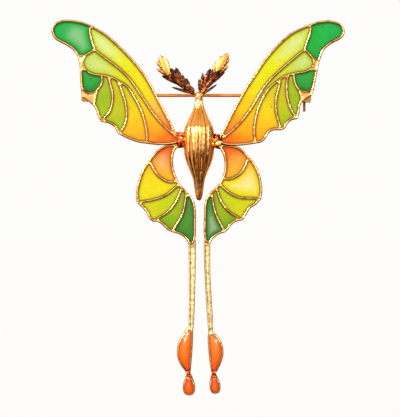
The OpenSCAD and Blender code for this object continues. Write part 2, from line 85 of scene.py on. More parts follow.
# Enamel, in millimetres: how far a pane runs under its metal, rises at its rim and domes. The rim of
# a wing's pane climbs within MENISCUS_REACH of the metal. A tail's pane is raised all over.
PANE_RINGS = (0.06, 0.13, 0.22, 0.36, 0.55)
WING_POUR = {"lap": 0.09, "rise": 0.07, "dome": 0.05, "grid": 0.6}
TAIL_POUR = {"lap": 0.22, "rise": 0.3, "dome": 0.42, "grid": 0.3}
WIDTH_GRID = 0.3
MENISCUS_REACH = 0.13
POURED_WAVES = 0.025


# ---------------------------------------------------------------- outlines

def wing_plane():
    """The y of the middle of the wings, in metres."""
    low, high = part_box("left_forewing_frame")
    return (low.y + high.y) / 2


def node_points(node):
    return np.array([v.co for v in frame["nodes"][node].data.vertices])


def face_loops(node):
    """The outlines of a plate's front face as lists of (x, z) in millimetres, the longest first."""
    mesh = frame["nodes"][node].data
    points = node_points(node) / MM
    front = points[:, 1].min()
    spots = {}
    spot_of = [spots.setdefault((round(x, 4), round(z, 4)), len(spots)) for x, _, z in points]
    edges = set()
    for face in mesh.polygons:
        corners = list(face.vertices)
        if all(points[v, 1] - front < 1e-3 for v in corners):
            for a, b in zip(corners, corners[1:] + corners[:1]):
                edges.add((spot_of[a], spot_of[b]))
    rim = sorted((a, b) for a, b in edges if (b, a) not in edges)
    following = dict(rim)
    places = np.array(list(spots))
    loops = []
    while following:
        start, spot = min(following), None
        loop = []
        while spot != start:
            spot = start if spot is None else spot
            loop.append(spot)
            spot = following.pop(spot)
        loops.append(places[loop])
    return sorted(loops, key=lambda p: -np.ptp(p[:, 0]) * np.ptp(p[:, 1]))


def rounded(loop, rounds=2):
    """Corner cutting, which stays inside the outline's own hull."""
    for _ in range(rounds):
        following = np.roll(loop, -1, axis=0)
        pairs = [0.75 * loop + 0.25 * following, 0.25 * loop + 0.75 * following]
        loop = np.stack(pairs, 1).reshape(-1, 2)
    return loop


def evenly(loop, step):
    """The same closed outline with points about a step apart."""
    closed = np.vstack([loop, loop[:1]])
    run = np.concatenate([[0], np.cumsum(np.hypot(*np.diff(closed, axis=0).T))])
    count = max(12, round(run[-1] / step))
    at = np.linspace(0, run[-1], count, endpoint=False)
    return np.stack([np.interp(at, run, closed[:, k]) for k in (0, 1)], 1)


class Region:
    """A flat area in x and z, in millimetres, between even outlines."""

    def __init__(self, loops, step):
        self.loops = [evenly(rounded(loop), step) for loop in loops]
        self.starts = np.vstack(self.loops)
        self.ends = np.vstack([np.roll(loop, -1, axis=0) for loop in self.loops])
        first = np.cumsum([0] + [len(loop) for loop in self.loops])
        self.edges = [
            (int(f + i), int(f + (i + 1) % len(loop)))
            for f, loop in zip(first, self.loops)
            for i in range(len(loop))
        ]
        self.before = np.empty(len(self.starts), int)
        for a, b in self.edges:
            self.before[b] = a
        self.tree = kdtree.KDTree(len(self.starts))
        for i, p in enumerate(self.starts):
            self.tree.insert((p[0], p[1], 0), i)
        self.tree.balance()

    def holds(self, points):
        """Whether each point is inside, by how many outlines a line to its right crosses."""
        inside = np.zeros(len(points), bool)
        ax, az = self.starts.T
        bx, bz = self.ends.T
        slope = (bx - ax) / np.where(bz == az, 1e-12, bz - az)
        for k in range(0, len(points), 2000):
            x, z = points[k:k + 2000, :1], points[k:k + 2000, 1:]
            crossed = ((az > z) != (bz > z)) & (x < ax + slope * (z - az))
            inside[k:k + 2000] = crossed.sum(1) % 2 == 1
        return inside

    def depth(self, points):
        """Distance from each point to the nearest outline."""
        near = np.array([self.tree.find((p[0], p[1], 0))[1] for p in points])
        best = np.full(len(points), 1e9)
        for first in (near, self.before[near]):
            a, b = self.starts[first], self.ends[first]
            along = ((points - a) * (b - a)).sum(1) / np.maximum(((b - a) ** 2).sum(1), 1e-12)
            foot = a + np.clip(along, 0, 1)[:, None] * (b - a)
            best = np.minimum(best, np.hypot(*(points - foot).T))
        return best

    def inward(self, loop):
        """Unit steps from each point of a loop into the area."""
        run = np.roll(loop, -1, axis=0) - np.roll(loop, 1, axis=0)
        run /= np.maximum(np.hypot(*run.T), 1e-9)[:, None]
        side = np.stack([-run[:, 1], run[:, 0]], 1)
        return side if self.holds(loop + side * 0.01).mean() > 0.5 else -side

    def rings(self, distances):
        """Points at set distances inside the outlines, wherever the area is that wide."""
        found = []
        for d in distances:
            for loop in self.loops:
                ring = loop + self.inward(loop) * d
                keep = self.holds(ring)
                keep[keep] = self.depth(ring[keep]) > 0.94 * d
                found.append(ring[keep])
        return found

    def grid(self, step, margin, rng):
        """Points about a step apart inside, more than a margin from the outlines."""
        low, high = self.starts.min(0), self.starts.max(0)
        x, z = np.meshgrid(np.arange(low[0], high[0], step), np.arange(low[1], high[1], step))
        spots = np.stack([x.ravel(), z.ravel()], 1)
        spots += rng.uniform(-0.25, 0.25, spots.shape) * step
        spots = spots[self.holds(spots)]
        return [spots[self.depth(spots) > margin]] if len(spots) else []

    def triangles(self, extra):
        """The area cut into triangles through its outlines and some extra points."""
        points = np.vstack([self.starts] + [e for e in extra if len(e)])
        spots = [Vector(p) for p in points]
        made, _, faces, *_ = delaunay_2d_cdt(spots, self.edges, [], 0, 1e-7)
        made = np.array([tuple(p) for p in made])
        faces = np.array(faces)
        return made, faces[self.holds(made[faces].mean(1))]


# ---------------------------------------------------------------- meshes

def smooth_noise(points, size, seed):
    """Soft noise from -1 to 1 at (x, z) points in millimetres."""
    return np.array([noise.noise((p[0] / size, p[1] / size, seed * 7.3)) for p in points]) * 1.6


def add_values(mesh, name, values):
    attribute = mesh.attributes.new(name, "FLOAT", "POINT")
    attribute.data.foreach_set("value", np.asarray(values, np.float32))


def new_piece(name, points, faces, material):
    """A mesh object from points in millimetres, riding on the brooch itself."""
    mesh = bpy.data.meshes.new(name)
    mesh.from_pydata((np.asarray(points) * MM).tolist(), [], [list(map(int, f)) for f in faces])
    mesh.validate()
    mesh.update()
    mesh.polygons.foreach_set("use_smooth", [True] * len(mesh.polygons))
    mesh.materials.append(material)
    piece = bpy.data.objects.new(name, mesh)
    bpy.context.scene.collection.objects.link(piece)
    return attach(piece, BODY)


def plate_piece(name, region, extra, front_of, back_of, material, values):
    """A closed plate over a region. front_of and back_of give y from the points and their depth."""
    flat, faces = region.triangles(extra)
    depth = region.depth(flat)
    count = len(flat)
    front = np.stack([flat[:, 0], front_of(flat, depth), flat[:, 1]], 1)
    back = np.stack([flat[:, 0], back_of(flat, depth), flat[:, 1]], 1)
    a, b, c = flat[faces[:, 0]], flat[faces[:, 1]], flat[faces[:, 2]]
    turn = (b[:, 0] - a[:, 0]) * (c[:, 1] - a[:, 1]) - (b[:, 1] - a[:, 1]) * (c[:, 0] - a[:, 0])
    faces[turn < 0] = faces[turn < 0][:, ::-1]
    steps = [(int(p), int(q)) for face in faces for p, q in zip(face, np.roll(face, -1))]
    used = set(steps)
    walls = [(p, p + count, q + count, q) for p, q in steps if (q, p) not in used]
    shell = [tuple(f) for f in faces] + [tuple(f[::-1] + count) for f in faces] + walls
    piece = new_piece(name, np.vstack([front, back]), shell, material)
    add_values(piece.data, "depth", np.tile(depth, 2))
    for key, given in values.items():
        add_values(piece.data, key, np.tile(given(flat), 2))
    return piece


def tube_faces(rows, columns):
    """The faces of a closed tube whose points run round each row in turn."""
    faces = []
    for i in range(rows - 1):
        for j in range(columns):
            a, b = i * columns + j, i * columns + (j + 1) % columns
            faces.append((a, b, b + columns, a + columns))
    faces.append(tuple(range(columns - 1, -1, -1)))
    faces.append(tuple(range((rows - 1) * columns, rows * columns)))
    return faces


def bead(depth, width):
    """Height of a half-round wire, from 0 at its edge to 1 at its crown."""
    return np.sqrt(np.maximum(0, 1 - (1 - np.minimum(depth / width, 1)) ** 2))


def ease(x, low, high):
    """0 up to low, 1 from high, and smooth between."""
    t = np.clip((x - low) / (high - low), 0, 1)
    return t * t * (3 - 2 * t)


# ---------------------------------------------------------------- materials

def linear(*rgb):
    """0-255 display colour to a linear one with alpha."""
    done = [c / 255 for c in rgb]
    return [c / 12.92 if c <= 0.04045 else ((c + 0.055) / 1.055) ** 2.4 for c in done] + [1]


class Nodes:
    """Short calls for the nodes of one tree. A source is another node's output or a plain value."""

    def __init__(self, tree):
        self.tree = tree

    def add(self, kind, **settings):
        node = self.tree.nodes.new(kind)
        for key, value in settings.items():
            setattr(node, key, value)
        return node

    def feed(self, socket, source):
        if isinstance(source, bpy.types.NodeSocket):
            self.tree.links.new(source, socket)
        else:
            socket.default_value = source

    def maths(self, operation, *sources):
        node = self.add("ShaderNodeMath", operation=operation)
        for socket, source in zip(node.inputs, sources):
            self.feed(socket, source)
        return node.outputs[0]

    def times(self, first, *others):
        for other in others:
            first = self.maths("MULTIPLY", first, other)
        return first

    def mix(self, factor, a, b, blend="MIX"):
        node = self.add("ShaderNodeMix", data_type="RGBA", blend_type=blend)
        self.feed(node.inputs[0], factor)
        self.feed(node.inputs[6], a)
        self.feed(node.inputs[7], b)
        return node.outputs[2]


class Painter(Nodes):
    """Short calls for one material. Sizes are in millimetres."""

    def __init__(self, name):
        self.material = bpy.data.materials.new(name)
        self.material.use_nodes = True
        super().__init__(self.material.node_tree)
        self.shader = self.tree.nodes["Principled BSDF"]
        self.place = self.add("ShaderNodeTexCoord").outputs["Object"]

    def set(self, **sources):
        """Feeds the shader's sockets, such as Base_Color for Base Color."""
        for key, source in sources.items():
            self.feed(self.shader.inputs[key.replace("_", " ")], source)

    def value(self, attribute):
        return self.add("ShaderNodeAttribute", attribute_name=attribute).outputs["Fac"]

    def noise(self, size_mm, detail=3, rough=0.55):
        node = self.add("ShaderNodeTexNoise")
        self.feed(node.inputs["Vector"], self.place)
        self.feed(node.inputs["Scale"], 1 / (size_mm * MM))
        self.feed(node.inputs["Detail"], detail)
        self.feed(node.inputs["Roughness"], rough)
        return node.outputs["Fac"]

    def specks(self, spacing_mm):
        """Distance from the middle of the nearest speck."""
        node = self.add("ShaderNodeTexVoronoi")
        self.feed(node.inputs["Vector"], self.place)
        self.feed(node.inputs["Scale"], 1 / (spacing_mm * MM))
        return node.outputs["Distance"]

    def ramp(self, factor, stops):
        """Colours along a factor: three numbers are a display colour, and four a linear one."""
        node = self.add("ShaderNodeValToRGB")
        elements = node.color_ramp.elements
        while len(elements) < len(stops):
            elements.new(0.5)
        for element, (at, colour) in zip(elements, stops):
            element.position = at
            element.color = colour if len(colour) == 4 else linear(*colour)
        self.feed(node.inputs["Fac"], factor)
        return node.outputs["Color"]

    def fit(self, source, low, high, to_low, to_high):
        node = self.add("ShaderNodeMapRange")
        for socket, given in zip(node.inputs[:5], (source, low, high, to_low, to_high)):
            self.feed(socket, given)
        return node.outputs["Result"]

    def bump(self, height, strength, distance_mm):
        node = self.add("ShaderNodeBump")
        self.feed(node.inputs["Height"], height)
        self.feed(node.inputs["Strength"], strength)
        self.feed(node.inputs["Distance"], distance_mm * MM)
        self.feed(self.shader.inputs["Normal"], node.outputs["Normal"])


WEB_GOLD = (255, 238, 176)
WEB_STREAKS = (226, 158, 62)
WEB_MATTNESS = 0.2
BLOT_BROWN = (158, 84, 36)
NECK_STAIN = (190, 80, 24)


def cast_stains_and_shade(p, colour, polish, painted_shade):
    """Brown blots, an orange neck, and a pale matt web with streaks and a line of painted shade beside its
    rail.
    """
    blots = p.fit(p.noise(1.3, 3), 0.58, 0.66, 0, 0.7)
    colour = p.mix(blots, colour, linear(*BLOT_BROWN))
    colour = p.mix(p.value("neck"), colour, linear(*NECK_STAIN))
    on_web = p.value("web")
    colour = p.mix(on_web, colour, linear(*WEB_GOLD))
    streaks = p.fit(p.noise(0.45, 4, 0.7), 0.5, 0.6, 0, 0.75)
    colour = p.mix(p.times(on_web, streaks), colour, linear(*WEB_STREAKS))
    # Painted shade: a brown line where the sunken web meets its rail.
    line_starts = p.fit(p.value("depth"), 0.24, 0.32, 0, 1)
    line_ends = p.fit(p.value("depth"), 0.34, 0.44, 0.8, 0)
    colour = p.mix(p.times(on_web, line_starts, line_ends), colour, linear(*painted_shade))
    return colour, p.maths("MULTIPLY_ADD", on_web, WEB_MATTNESS, polish)


def gold(name, bright, wear_and_shade, painted_shade=(70, 32, 14), rough=0.2, painted_shade_mm=None, cast=False,
         grain=0.25, patch_mm=2.4):
    """Plated gold with noise patches of a second colour: rosier wear, and on the fittings dark painted
    shade. On a piece with depths, painted shade turns it brown down to painted_shade_mm.
    """
    p = Painter(name)
    # Patches of a second colour: rosy wear, and on the fittings dark painted shade.
    colour = p.mix(p.fit(p.noise(patch_mm, 4), 0.4, 0.68, 0, 1), linear(*bright), linear(*wear_and_shade))
    polish = p.fit(p.noise(0.5, 4), 0.3, 0.7, rough * 0.7, rough * 1.5)
    if cast:
        colour, polish = cast_stains_and_shade(p, colour, polish, painted_shade)
    if painted_shade_mm is not None:
        # Painted shade: brown towards the edges of wires and in grooves, by depth.
        shade = p.fit(p.value("depth"), 0.0, painted_shade_mm, 1, 0)
        colour = p.mix(shade, colour, linear(*painted_shade))
    p.bump(p.noise(0.35, 2), grain, 0.05)
    p.set(Base_Color=colour, Roughness=polish, Metallic=1.0)
    return p.material


# ---------------------------------------------------------------- cast frames

# Painted shade: each wire turns brown along its edges, 0.19 mm in.
CAST_GOLD = gold("cast_gold", (252, 212, 138), (232, 166, 86), (84, 40, 12), rough=0.15,
                 painted_shade_mm=0.19, cast=True)


def nowhere(flat):
    return np.zeros(len(flat))


def tail_zones(side):
    """Two functions from 0 to 1: where the frame is the tail's stem, and where it is the drop's neck."""
    stem_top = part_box(f"{side}_hind_enamel_5")[0].z / MM - 0.6
    stem_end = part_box(f"{side}_tail_enamel_leaf")[1].z / MM + 0.3
    neck_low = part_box(f"{side}_tail_enamel_drop")[1].z / MM
    neck_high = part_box(f"{side}_tail_enamel_leaf")[0].z / MM

    def on_stem(flat):
        below_wing = 1 - ease(flat[:, 1], stem_top - 0.8, stem_top + 0.4)
        return below_wing * ease(flat[:, 1], stem_end - 0.3, stem_end + 0.5)

    def on_neck(flat):
        above_drop = ease(flat[:, 1], neck_low - 0.5, neck_low)
        return above_drop * (1 - ease(flat[:, 1], neck_high, neck_high + 0.5))

    return on_stem, on_neck


def frame_piece(side, wing):
    """Rims and veins as half-round wire, with slightly sunken plates where the metal is wide."""
    node = f"{side}_{wing}_frame"
    low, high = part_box(node)
    front, back = low.y / MM, high.y / MM
    region = Region(face_loops(node), OUTLINE_STEP)
    on_stem, on_neck = tail_zones(side) if wing == "hindwing" else (nowhere, nowhere)

    def sink(flat, depth):
        stem = on_stem(flat)
        floor_depth = PLATE_SINK + (STEM_SINK - PLATE_SINK) * stem
        hammered = HAMMERING * stem * smooth_noise(flat * (1.4, 0.12), 0.5, 5)
        return ease(depth, 0.22, 0.4) * (floor_depth + hammered)

    def front_of(flat, depth):
        lumps = CAST_LUMPS * (smooth_noise(flat, 0.7, 1) + 0.6 * smooth_noise(flat, 2.1, 2))
        rise = BEAD_RISE * (1 - bead(depth, BEAD_WIDTH))
        return front + rise + sink(flat, depth) + np.abs(lumps)

    def back_of(flat, depth):
        lumps = CAST_LUMPS * smooth_noise(flat, 1.1, 3)
        return back - BACK_ROUNDING * (1 - bead(depth, BEAD_WIDTH)) - np.abs(lumps)

    values = {"web": on_stem, "neck": on_neck}
    extra = region.rings(METAL_RINGS)
    piece = plate_piece(f"{node}_cast", region, extra, front_of, back_of, CAST_GOLD, values)
    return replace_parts(piece, node)


# ---------------------------------------------------------------- enamel panes

# Rim colours: the dark line where enamel meets metal, partly deeper enamel and partly painted shade from
# the metal walls.
EMERALD_EDGE = (16, 70, 20)
OLIVE_EDGE = (92, 84, 6)
AMBER_EDGE = (150, 70, 10)
FLAME_EDGE = (150, 30, 4)
# The rim's colour at a cell's near end, where it isn't the same all round.
ROOT_EDGE = {"fore_enamel_costal": (196, 84, 10), "fore_enamel_middle": (190, 66, 8),
             "fore_enamel_c": (170, 80, 8), "hind_enamel_2": (170, 80, 10)}
# What the enamel's own colour is multiplied by where it is deep, near its rim.
DEEPER = {EMERALD_EDGE: [0.6, 0.9, 0.5, 1], OLIVE_EDGE: [1.0, 0.96, 0.2, 1],
          AMBER_EDGE: [1.0, 0.72, 0.3, 1], FLAME_EDGE: [1.0, 0.8, 0.5, 1]}

# Colour runs: a direction (outwards, up) and stops along it, from the near end to the far end.
PANES = {
    "fore_enamel_tip": ((1, 0.4), EMERALD_EDGE, [(0.0, (22, 182, 62)), (0.5, (24, 190, 78)),
                                                 (1.0, (20, 184, 92))]),
    "fore_enamel_costal": ((0.75, 1), OLIVE_EDGE, [(0.0, (255, 112, 14)), (0.12, (255, 164, 16)),
                                                   (0.32, (255, 232, 0)), (0.62, (240, 242, 8)),
                                                   (0.8, (222, 238, 62)), (1.0, (214, 238, 90))]),
    "fore_enamel_middle": ((0.9, 1), OLIVE_EDGE, [(0.0, (252, 92, 4)), (0.08, (255, 140, 6)),
                                                  (0.2, (255, 186, 4)), (0.4, (254, 222, 0)),
                                                  (0.66, (236, 234, 4)), (0.84, (208, 230, 60)),
                                                  (1.0, (200, 228, 96))]),
    "fore_enamel_eye": ((0.2, 1), EMERALD_EDGE, [(0.0, (32, 148, 48)), (0.4, (48, 172, 66)),
                                                 (1.0, (62, 178, 76))]),
    "fore_enamel_a": ((0.2, 1), OLIVE_EDGE, [(0.0, (178, 210, 26)), (0.4, (168, 200, 18)),
                                             (0.75, (176, 206, 36)), (1.0, (192, 190, 60))]),
    "fore_enamel_b": ((-0.2, 1), OLIVE_EDGE, [(0.0, (176, 204, 22)), (0.4, (204, 210, 22)),
                                              (0.7, (218, 210, 14)), (1.0, (224, 212, 40))]),
    "fore_enamel_c": ((0.2, 1), OLIVE_EDGE, [(0.0, (255, 176, 20)), (0.22, (255, 200, 14)),
                                             (0.5, (252, 220, 2)), (1.0, (222, 216, 0))]),
    "hind_enamel_1": ((0.3, -1), AMBER_EDGE, [(0.0, (252, 84, 8)), (0.22, (252, 126, 26)),
                                              (0.5, (254, 176, 70)), (1.0, (254, 206, 30))]),
    "hind_enamel_2": ((-0.2, -1), OLIVE_EDGE, [(0.0, (252, 190, 50)), (0.3, (252, 222, 18)),
                                               (0.6, (248, 232, 4)), (1.0, (242, 232, 4))]),
    "hind_enamel_3": ((1, -0.7), OLIVE_EDGE, [(0.0, (206, 216, 10)), (0.5, (208, 222, 4)),
                                              (1.0, (226, 222, 2))]),
    "hind_enamel_4": ((0.5, -1), OLIVE_EDGE, [(0.0, (166, 188, 36)), (0.6, (164, 194, 18)),
                                              (1.0, (120, 176, 16))]),
    "hind_enamel_5": ((0.3, -1), EMERALD_EDGE, [(0.0, (96, 142, 62)), (0.5, (90, 156, 50)),
                                                (1.0, (56, 142, 42))]),
    "tail_enamel_leaf": ((0, -1), FLAME_EDGE, [(0.0, (250, 140, 44)), (0.4, (250, 122, 8)),
                                               (1.0, (252, 92, 0))]),
    "tail_enamel_drop": ((0, -1), FLAME_EDGE, [(0.0, (226, 84, 20)), (0.4, (252, 98, 4)),
                                               (1.0, (254, 104, 2))]),
}
# Pale clouds down the middle of a cell, partly milky enamel and partly painted reflection: how strong, and
# from where to where along it.
MILK_AND_SHEEN = {
    "left_fore_enamel_tip": (0.26, -0.2, 0.66), "right_hind_enamel_5": (0.3, 0.3, 1.1),
    "right_hind_enamel_2": (0.35, 0.1, 0.8), "left_fore_enamel_costal": (0.4, 0.72, 1.1),
    "right_fore_enamel_costal": (0.3, 0.72, 1.1), "left_fore_enamel_middle": (0.25, 0.75, 1.1),
    "right_fore_enamel_middle": (0.25, 0.75, 1.1), "left_hind_enamel_1": (0.15, 0.2, 0.7),
}
# A painted glare: a reflection that runs down the costal cell to the wing's root.
GLARE = {"left_fore_enamel_costal": (0.55, -0.2, 0.22)}
MILK_AND_GLARE_WHITE = [0.95, 0.95, 0.82, 1]
CLOUDS = [(0.26, [0.74, 0.86, 0.5, 1]), (0.4, [0.95, 0.96, 0.84, 1]), (0.62, [1, 1, 1, 1])]
# How far the rim's dark colour, partly deeper enamel and partly painted shade, takes over, from the rim to
# RIM_REACH millimetres in.
RIM_REACH = 0.6
RIM_SHADE = [(at, [level] * 3 + [1]) for at, level in ((0.0, 0.85), (0.3, 0.68), (0.55, 0.14), (1.0, 0.0))]


def enamel(name, stops, edge, root_edge, clear, coat):
    """Translucent enamel: a gradient along the cell, cloudy, speckled, with painted glare, and dark where
    it meets metal, partly from deeper enamel and partly painted shade.
    """
    p = Painter(name)
    drift = p.fit(p.noise(3.2, 3), 0.3, 0.7, -0.05, 0.05)
    along = p.maths("ADD", p.value("along"), drift)
    rim = p.ramp(along, [(0.12, root_edge), (0.5, edge)])
    colour = p.mix(1.0, p.ramp(along, stops), p.ramp(p.noise(1.3, 4, 0.6), CLOUDS), "MULTIPLY")
    colour = p.mix(p.fit(p.specks(1.9), 0.05, 0.12, 0.6, 0), colour, rim)
    colour = p.mix(p.fit(p.value("depth"), 0.2, 1.3, 0.75, 0), colour, DEEPER[edge], "MULTIPLY")
    # Pale milk, with painted glare and reflection where the tables give it.
    colour = p.mix(p.value("milk_and_glare"), colour, MILK_AND_GLARE_WHITE)
    # Partly painted shade: the rim's dark colour near the metal walls.
    shade = p.ramp(p.fit(p.value("depth"), 0, RIM_REACH, 0, 1), RIM_SHADE)
    colour = p.mix(shade, colour, rim)
    p.bump(p.noise(0.8, 2), 0.15, 0.05)
    p.set(Base_Color=colour, Roughness=p.fit(p.noise(0.9, 2), 0.3, 0.7, 0.1, 0.2), IOR=1.5)
    p.set(Specular_IOR_Level=0.05, Transmission_Weight=clear, Coat_Weight=coat, Coat_Roughness=0.04)
    return p.material


def pane_material(kind):
    _, edge, stops = PANES[kind]
    clear, coat = (0.12, 1.0) if kind.startswith("tail") else (0.4, 0.05)
    return enamel(kind, stops, edge, ROOT_EDGE.get(kind, edge), clear, coat)


def slot_of(node):
    rows = frame["record"]["subparts"]
    return next(row["material_slot"] for row in rows if row["node"] == node)


def run_along(side, kind, region):
    """A function that gives how far along its cell a point lies, from 0 to 1."""
    outwards, up = PANES[kind][0]
    aim = np.array([outwards * SIDES[side], up]) / math.hypot(outwards, up)
    reach = region.starts @ aim

    def along(flat):
        return (flat @ aim - reach.min()) / np.ptp(reach)

    return along


def milk_and_glare_of(node, region, along, widest):
    """A function that gives how pale a point of the cell is painted, from milky enamel and painted glare,
    from 0 to 1.
    """
    clouds = [rows[node] for rows in (MILK_AND_SHEEN, GLARE) if node in rows]
    blur = 0.12

    def milk_and_glare(flat):
        run, total = along(flat), np.zeros(len(flat))
        for level, start, end in clouds:
            begun = ease(run, start - blur, start + blur)
            total += level * begun * (1 - ease(run, end - blur, end + blur))
        return total * ease(region.depth(flat), 0.25, 0.3 + 0.7 * widest)

    return milk_and_glare


def pane_piece(side, kind, material):
    """One poured pane: its surface climbs the metal all round and is never quite flat."""
    node = f"{side}_{kind}"
    low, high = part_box(node)
    front, back = low.y / MM, high.y / MM
    tail = kind.startswith("tail")
    pour = TAIL_POUR if tail else WING_POUR
    inner = Region(face_loops(node), OUTLINE_STEP)
    region = Region([loop - inner.inward(loop) * pour["lap"] for loop in inner.loops], OUTLINE_STEP)
    rng = np.random.default_rng(len(node) * 31 + SIDES[side])
    waves_seed = float(rng.uniform(0, 40))
    widest = inner.depth(inner.grid(WIDTH_GRID, 0.1, rng)[0]).max()

    def front_of(flat, depth):
        inside = np.maximum(depth - pour["lap"], 0)
        climb = pour["rise"] * (1 if tail else np.exp(-(inside / MENISCUS_REACH) ** 2))
        crown = pour["dome"] * (1 - (1 - np.minimum(inside / widest, 1)) ** 2)
        waves = POURED_WAVES * smooth_noise(flat, 1.7, waves_seed) * ease(inside, 0.1, 0.8)
        return front - climb - crown + waves

    def back_of(flat, depth):
        return np.full(len(flat), back)

    along = run_along(side, kind, region)
    values = {"along": along, "milk_and_glare": milk_and_glare_of(node, region, along, widest)}
    extra = region.rings(PANE_RINGS) + region.grid(pour["grid"], PANE_RINGS[-1] + 0.2, rng)
    piece = plate_piece(f"{node}_pour", region, extra, front_of, back_of, material, values)
    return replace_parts(piece, node)


# ---------------------------------------------------------------- body

# Grooves of the body: degrees round from the front, and depth as a share of the radius there.
GROOVES = ((-180, 0.05), (-114, 0.08), (-66, 0.1), (-43, 0.1), (-16, 0.03), (-2, 0.07),
           (9, 0.03), (33, 0.1), (61, 0.1), (119, 0.08), (180, 0.05))
DEEPEST = max(depth for _, depth in GROOVES)
BODY_TONE = (250, 197, 126)
BODY_ROWS = 190
BODY_COLUMNS = 240


def fluting(turn):
    """For each angle: how far the surface drops, and how far off the nearest groove is, in radii.

    A shallow groove counts as further off than a deep one.
    """
    places, depths = np.array(GROOVES).T
    around = (np.degrees(turn) + 270) % 360 - 180
    after = np.clip(np.searchsorted(places, around, side="right"), 1, len(places) - 1)
    start, end = places[after - 1], places[after]
    phase = (around - start) / (end - start)
    deep = np.where(phase < 0.5, depths[after - 1], depths[after])
    nearest = np.radians(np.minimum(around - start, end - around))
    return deep * (2 * phase - 1) ** 2, nearest * DEEPEST / deep


def body_profile(points, middle_x, middle_y):
    """Heights and radii of the CAD body, from the points of its front half."""
    facing = points[points[:, 1] < middle_y]
    facing = facing[np.argsort(facing[:, 2])]
    return facing[:, 2], np.hypot(facing[:, 0] - middle_x, facing[:, 1] - middle_y)


def body_zones(share):
    """How fluted and knobbly the body is, and how strongly a dark reflection is painted on it, at a share
    of its height, from its lower end.
    """
    fluted = ease(share, 0.0, 0.12) * (1 - ease(share, 0.84, 0.95))
    knobbly = ease(share, 0.76, 0.93)
    dark_reflection = 0.6 * (1 - ease(share, 0.36, 0.5)) * ease(share, 0.08, 0.2)
    return fluted, knobbly, dark_reflection


def body_shape():
    """The fluted body's points in millimetres, and each point's distance from a groove for painted shade,
    shortened on the lower body to paint a dark reflection there.
    """
    points = node_points("body") / MM
    low, high = points.min(0), points.max(0)
    middle_x, middle_y = (low[0] + high[0]) / 2, wing_plane() / MM
    heights, radii = body_profile(points, middle_x, middle_y)
    turn = np.linspace(0, 2 * math.pi, BODY_COLUMNS, endpoint=False)
    drop, nearest = fluting(turn)
    verts, groove = [], []
    for z in np.linspace(low[2] + 0.02, high[2] - 0.02, BODY_ROWS):
        radius = np.interp(z, heights, radii)
        fluted, knobbly, dark_reflection = body_zones((z - low[2]) / (high[2] - low[2]))
        for angle, less, near in zip(turn, drop, nearest):
            spot = Vector((math.cos(angle), math.sin(angle), 0))
            bumps = noise.noise((spot.x * radius / 0.5, spot.y * radius / 0.5, z / 0.55))
            ripple = 0.022 * noise.noise((spot.x * 4, spot.y * 4, z / 1.1))
            r = radius * (1 - less * fluted) - abs(bumps) * 0.2 * knobbly - abs(ripple) * radius
            verts.append((middle_x + r * spot.x, min(middle_y + r * spot.y, high[1]), z))
            groove.append(near * radius * (1 - dark_reflection) + (1 - fluted) * 0.4)
    return verts, groove


def body_piece():
    """The fluted body: round ribs with sharp grooves between them, on the CAD body's own profile."""
    verts, groove = body_shape()
    # Painted shade: the body's gold turns brown near its grooves, and lower down as a painted dark
    # reflection.
    finish = gold("body_gold", BODY_TONE, (240, 168, 84), (104, 46, 12), rough=0.14, painted_shade_mm=0.14,
                  grain=0.07)
    piece = new_piece("body_fluted", verts, tube_faces(BODY_ROWS, BODY_COLUMNS), finish)
    add_values(piece.data, "depth", groove)
    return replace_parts(piece, "body")


# ---------------------------------------------------------------- antennae

# Barbs of each antenna as (root, tip, width, how far forward from 0 to 1). Roots and tips are shares
# of the antenna's box, outwards from the neck and up. Widths are in millimetres.
LEFT_BARBS = {
    "brown": [((0.04, 0.02), (0.74, 0.54), 1.15, 0.0),
              ((0.11, 0.09), (0.18, 0.25), 1.0, 0.3), ((0.22, 0.15), (0.29, 0.44), 1.25, 0.5),
              ((0.32, 0.20), (0.37, 0.52), 1.0, 0.2), ((0.39, 0.28), (0.53, 0.69), 1.45, 0.6),
              ((0.48, 0.33), (0.65, 0.68), 1.4, 0.3), ((0.16, 0.08), (0.63, 0.23), 0.65, 0.2),
              ((0.36, 0.28), (0.87, 0.50), 1.05, 0.5), ((0.32, 0.21), (0.66, 0.53), 1.3, 1.0),
              ((0.05, 0.03), (0.46, 0.33), 0.7, 1.0)],
    "gold": [((0.60, 0.40), (0.93, 0.92), 1.7, 0.0), ((0.67, 0.48), (0.99, 0.67), 0.9, 0.2),
             ((0.70, 0.49), (0.91, 0.99), 1.9, 0.7),
             ((0.71, 0.57), (0.77, 0.92), 1.1, 0.4), ((0.74, 0.59), (0.99, 0.84), 1.1, 0.3)],
}
RIGHT_BARBS = {
    "brown": [((0.06, 0.02), (0.60, 0.61), 1.1, 0.0),
              ((0.07, 0.11), (0.04, 0.40), 0.75, 0.3), ((0.11, 0.17), (0.16, 0.54), 0.85, 0.2),
              ((0.19, 0.23), (0.40, 0.64), 1.35, 0.6), ((0.28, 0.28), (0.53, 0.65), 1.3, 0.3),
              ((0.14, 0.05), (0.60, 0.28), 0.6, 0.2), ((0.32, 0.27), (0.85, 0.57), 1.0, 0.4),
              ((0.24, 0.18), (0.69, 0.62), 1.3, 1.0), ((0.08, 0.02), (0.42, 0.37), 0.7, 1.0)],
    "gold": [((0.52, 0.46), (0.92, 0.93), 1.7, 0.0), ((0.50, 0.53), (0.54, 0.80), 0.9, 0.3),
             ((0.57, 0.57), (0.73, 0.93), 1.2, 0.5),
             ((0.60, 0.54), (0.95, 0.99), 1.9, 0.8), ((0.66, 0.54), (0.95, 0.71), 1.1, 0.3),
             ((0.76, 0.67), (0.99, 0.87), 0.9, 0.4)],
}
BARB_ROWS = 16
BARB_SIDES = 14


